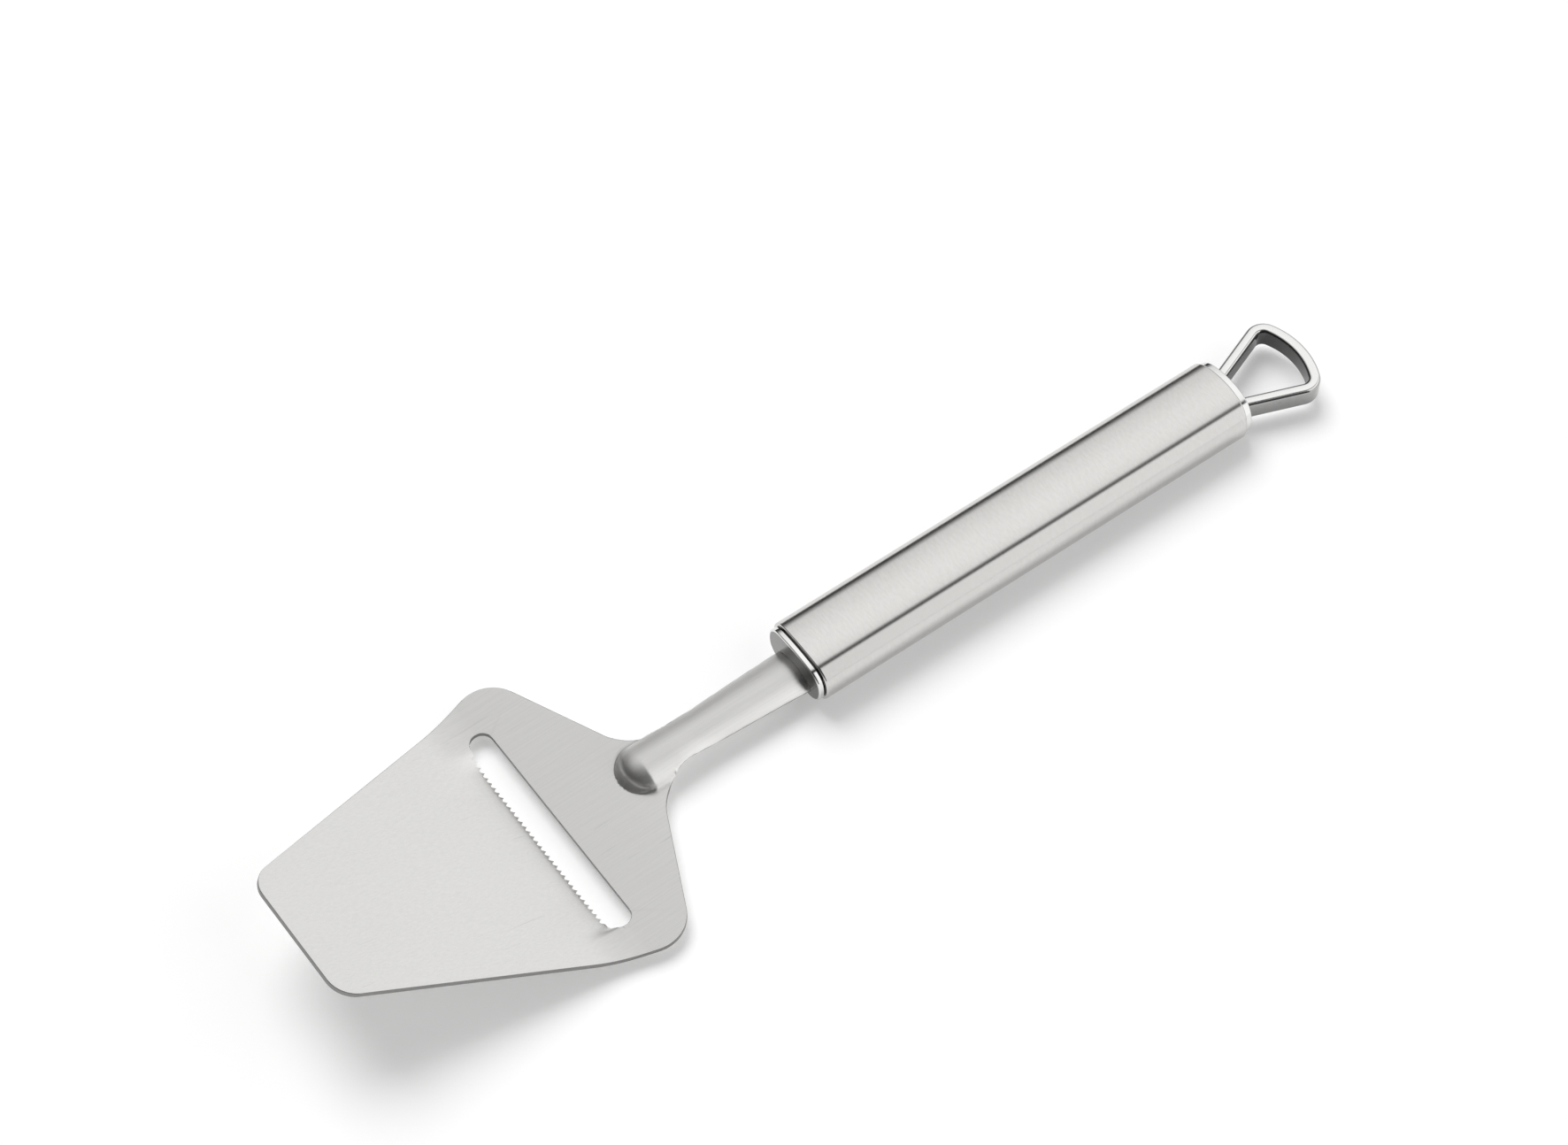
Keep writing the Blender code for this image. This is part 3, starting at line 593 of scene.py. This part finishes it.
def makeFrontCap():
    mesh = capBody(0.0, -1.0, cap["frontFlange"], 1)
    halfWidth = blade["shankEnd"][1] + cap["shankGap"]
    cutter = bmesh.new()
    bmesh.ops.create_grid(cutter, x_segments=1, y_segments=cap["cutSteps"], size=1.0)
    middleU = cap["cutMiddle"] - blade["bendX"]
    for vert in cutter.verts:
        vert.co.x = middleU + vert.co.x * cap["cutHalf"]
        vert.co.y *= halfWidth
    upper = set(cutter.verts)
    extruded = bmesh.ops.extrude_face_region(cutter, geom=cutter.faces[:], use_keep_orig=True)
    lower = set(vertsOf(extruded["geom"]))
    for vert in upper | lower:
        u, y = vert.co.x, vert.co.y
        lift = cap["shankGap"] if vert in upper else -blade["sheet"] - cap["shankGap"]
        vert.co = bladePoint(u, y) + bladeNormal(u, y) * lift
    mesh = cutAway(mesh, cutter)
    addPiece("front_end", mesh, capSteels, "front_cap", cap["sharpAngle"])


# Hanging loop: a bar with rounded edges, swept along leg, corner, end arc, corner and leg
loop = {"width": 2.5, "height": 5.0, "edge": 0.75, "edgeSteps": 10, "level": -1.0, "legStart": (106.0, 1.5),
        "corner": (127.14, 9.54), "endX": 130.44, "endRadius": 16.2, "cornerRadius": 3.0, "cornerSteps": 18,
        "endSteps": 28, "sharpAngle": 40.0, "gap": 0.06, "shadedWallSlope": 0.8, "eyeX": 121.0,
        "cutBack": 3.0, "cutLength": 15.0}


def drawBar(mesh, grow):
    # The bar's section across the start of a leg, as one face.
    halfWidth = loop["width"] / 2.0 + grow
    halfHeight = loop["height"] / 2.0 + grow
    corners = [Vector((0.0, y, z)) for y, z in ((halfWidth, halfHeight), (-halfWidth, halfHeight),
                                                (-halfWidth, -halfHeight), (halfWidth, -halfHeight))]
    verts = [mesh.verts.new(corner) for corner in corners]
    mesh.faces.new(verts)
    bmesh.ops.bevel(mesh, geom=mesh.verts[:], offset=loop["edge"] + grow, offset_type="OFFSET",
                    segments=loop["edgeSteps"], profile=0.5, affect="VERTICES", material=-1,
                    clamp_overlap=True)
    return next(iter(mesh.faces))


def legHeading():
    start, corner = Vector(loop["legStart"]), Vector(loop["corner"])
    return (corner - start).normalized()


def placeBar(mesh, side):
    heading = legHeading()
    turn = Matrix.Rotation(side * math.atan2(heading.y, heading.x), 4, "Z")
    start = Vector((loop["legStart"][0], side * loop["legStart"][1], loop["level"]))
    mesh.transform(Matrix.Translation(start) @ turn)


def pushOn(mesh, face, vector):
    made = bmesh.ops.extrude_face_region(mesh, geom=[face])["geom"]
    bmesh.ops.translate(mesh, vec=vector, verts=vertsOf(made))
    return facesOf(made)[0]


def turnOn(mesh, face, center, angle, steps):
    made = bmesh.ops.spin(mesh, geom=[face] + face.edges[:] + face.verts[:], cent=center, axis=axisZ,
                          angle=angle, steps=steps)
    return facesOf(made["geom_last"])[0]


def makeLoop():
    mesh = bmesh.new()
    face = drawBar(mesh, 0.0)
    placeBar(mesh, 1.0)
    start, heading = Vector(loop["legStart"]), legHeading()
    inward = Vector((heading.y, -heading.x))
    endCenter = Vector((loop["endX"] - loop["endRadius"], 0.0))
    reach = loop["endRadius"] - loop["cornerRadius"]
    # The corner's center slides along the leg from here.
    foot = start + inward * loop["cornerRadius"] - endCenter
    half = foot.dot(heading)
    run = -half + math.sqrt(half ** 2 - foot.length_squared + reach ** 2)
    center = foot + heading * run + endCenter
    outward = (center - endCenter).normalized()
    cornerTurn = math.atan2(-inward.y, -inward.x) - math.atan2(outward.y, outward.x)
    endTurn = 2.0 * math.atan2(outward.y, outward.x)
    level = loop["level"]
    leg = Vector((heading.x, heading.y, 0.0)) * run
    face = pushOn(mesh, face, leg)
    face = turnOn(mesh, face, (center.x, center.y, level), -cornerTurn, loop["cornerSteps"])
    face = turnOn(mesh, face, (endCenter.x, 0.0, level), -endTurn, loop["endSteps"])
    face = turnOn(mesh, face, (center.x, -center.y, level), -cornerTurn, loop["cornerSteps"])
    pushOn(mesh, face, Vector((-leg.x, leg.y, 0.0)))
    bmesh.ops.delete(mesh, geom=[face], context="FACES_ONLY")  # pushOn keeps the face it starts from
    mesh.normal_update()
    # Steep walls take the darker steels as painted shade: the walls facing the eye darkest, the outer walls
    # less.
    for face in mesh.faces:
        if abs(face.normal.z) < loop["shadedWallSlope"]:
            toEye = Vector((loop["eyeX"], 0.0, level)) - face.calc_center_median()
            face.material_index = 2 if face.normal.dot(toEye) > 0.0 else 1
    steels = (loopSteel, outsideDullShadeSteel, insideDullShadeSteel)
    addPiece("loop_bar", mesh, steels, "hanging_loop", loop["sharpAngle"])


def makeRearCap():
    mesh = capBody(tube["rear"] + tube["front"], 1.0, cap["rearFlange"], 0)
    lines = spread(-oval["halfWidth"], oval["halfWidth"], tube["domePitch"])[1:-1]
    cutSheet(mesh, axisY, lines, 0.0, far)
    domeRear(mesh)
    for side in (1.0, -1.0):
        cutter = bmesh.new()
        face = drawBar(cutter, loop["gap"])
        bmesh.ops.translate(cutter, vec=-axisX * loop["cutBack"], verts=cutter.verts)
        pushOn(cutter, face, axisX * loop["cutLength"])
        placeBar(cutter, side)
        mesh = cutAway(mesh, cutter)
    addPiece("rear_end", mesh, capSteels, "rear_cap", cap["sharpAngle"])


makeBlade()
makeTube()
makeFrontCap()
makeRearCap()
makeLoop()
for name in ("tang_weld", "loop_weld_left", "loop_weld_right"):
    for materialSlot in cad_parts[name].material_slots:
        materialSlot.material = weldSteel
print("pieces made")


# Light: a dark room with three plain soft boxes and a low pale card in front. The back and side boxes
# run along the handle, and their edges are angles round its axis (0 is up, + is +Y). The end box stands
# beyond the loop.
studio = {
    "room": 0.06, "strength": 1.0,
    "backBox": {"starts": -8.0, "full": 18.0, "fades": 22.0, "ends": 80.0, "open": -1.0, "openFull": 0.10,
                "level": 1.20},
    "sideBox": {"starts": -130.0, "full": -80.0, "fades": -22.0, "ends": -9.0, "open": 0.13, "openFull": 0.24,
                "level": 1.20},
    "endBox": {"open": 0.40, "openFull": 0.70, "low": 0.0, "lowFull": 0.30, "level": 0.82},
    "frontCard": {"starts": -0.30, "full": -0.70, "top": 0.50, "level": 0.50},
}
floorLook = {"size": 8.0, "white": 0.70, "lift": 0.27}
keyLamp = {"toward": (0.10, 0.60, 0.80), "energy": 2.2, "softness": math.radians(40.0)}


def longBox(box, angle, x):
    across = angle.step(box["starts"], box["full"]) * (1.0 - angle.step(box["fades"], box["ends"]))
    return across * x.step(box["open"], box["openFull"]) * box["level"]


def makeWorld():
    world = bpy.data.worlds.new("studio")
    bpy.context.scene.world = world
    tree = Tree(world)
    direction = tree.node("ShaderNodeTexCoord", {}, {}, "Generated")
    x, y, z = [tree.node("ShaderNodeSeparateXYZ", {}, {0: direction}, axis) for axis in ("X", "Y", "Z")]
    angle = x.maths("ARCTAN2", y, z) * (180.0 / math.pi)
    end = studio["endBox"]
    endLight = x.step(end["open"], end["openFull"]) * z.step(end["low"], end["lowFull"]) * end["level"]
    light = x.maths("MAXIMUM", longBox(studio["backBox"], angle, x), longBox(studio["sideBox"], angle, x))
    card = studio["frontCard"]
    cardAhead = 1.0 - x.step(card["full"], card["starts"])
    cardLight = cardAhead * (1.0 - z.step(0.0, card["top"])) * card["level"]
    light = x.maths("MAXIMUM", light, endLight)
    light = x.maths("MAXIMUM", light, x.maths("MAXIMUM", cardLight, studio["room"]))
    background = tree.node("ShaderNodeBackground", {}, {"Color": light, "Strength": studio["strength"]})
    tree.node("ShaderNodeOutputWorld", {}, {"Surface": background})


def makeKeyLamp():
    data = bpy.data.lights.new("key_lamp", "SUN")
    data.energy = keyLamp["energy"]
    data.angle = keyLamp["softness"]
    lamp = bpy.data.objects.new("key_lamp", data)
    lamp.rotation_euler = Vector(keyLamp["toward"]).to_track_quat("Z", "Y").to_euler()
    lamp.visible_glossy = False  # it lights the floor; the metal shows the boxes
    bpy.context.scene.collection.objects.link(lamp)


def makeFloor():
    mesh = bmesh.new()
    bmesh.ops.create_grid(mesh, x_segments=1, y_segments=1, size=floorLook["size"])
    data = bpy.data.meshes.new("floor")
    mesh.to_mesh(data)
    mesh.free()
    floor = bpy.data.objects.new("floor", data)
    bpy.context.scene.collection.objects.link(floor)
    material = bpy.data.materials.new("floor_white")
    tree = Tree(material)
    white = floorLook["white"]
    diffuse = tree.node("ShaderNodeBsdfDiffuse", {}, {"Color": (white, white, white, 1.0)})
    lift = tree.node("ShaderNodeEmission", {}, {"Color": (1.0, 1.0, 1.0, 1.0), "Strength": floorLook["lift"]})
    lifted = tree.node("ShaderNodeAddShader", {}, {0: diffuse, 1: lift})
    camera, glossy, through = [tree.node("ShaderNodeLightPath", {}, {}, key) for key in (
        "Is Camera Ray", "Is Glossy Ray", "Is Transmission Ray")]
    seen = camera.maths("MAXIMUM", camera.maths("MAXIMUM", camera, glossy), through)
    shader = tree.node("ShaderNodeMixShader", {}, {0: seen, 1: diffuse, 2: lifted})
    tree.node("ShaderNodeOutputMaterial", {}, {"Surface": shader})
    data.materials.append(material)


# Camera: where the photograph was taken from, in the handle's frame
shot = {"azimuth": math.radians(-36.04), "elevation": math.radians(57.65),
        "place": (-275.29, -374.90, 768.98), "lens": 103.13, "sensor": 36.0, "clipStart": 0.01}


def makeCamera():
    azimuth, elevation = shot["azimuth"], shot["elevation"]
    back = Vector((math.sin(azimuth) * math.cos(elevation), -math.cos(azimuth) * math.cos(elevation),
                   math.sin(elevation)))
    right = Vector((math.cos(azimuth), math.sin(azimuth), 0.0))
    axes = Matrix((right, back.cross(right), back)).transposed().to_4x4()
    data = bpy.data.cameras.new("camera")
    data.lens = shot["lens"]
    data.sensor_width = shot["sensor"]
    data.sensor_fit = "HORIZONTAL"
    data.clip_start = shot["clipStart"]
    camera = bpy.data.objects.new("camera", data)
    bpy.context.scene.collection.objects.link(camera)
    camera.matrix_world = layDown @ Matrix.Translation(Vector(shot["place"]) * millimetre) @ axes
    bpy.context.scene.camera = camera


makeWorld()
makeKeyLamp()
makeFloor()
makeCamera()
bpy.context.scene.view_settings.view_transform = "Standard"
print("light and camera made")
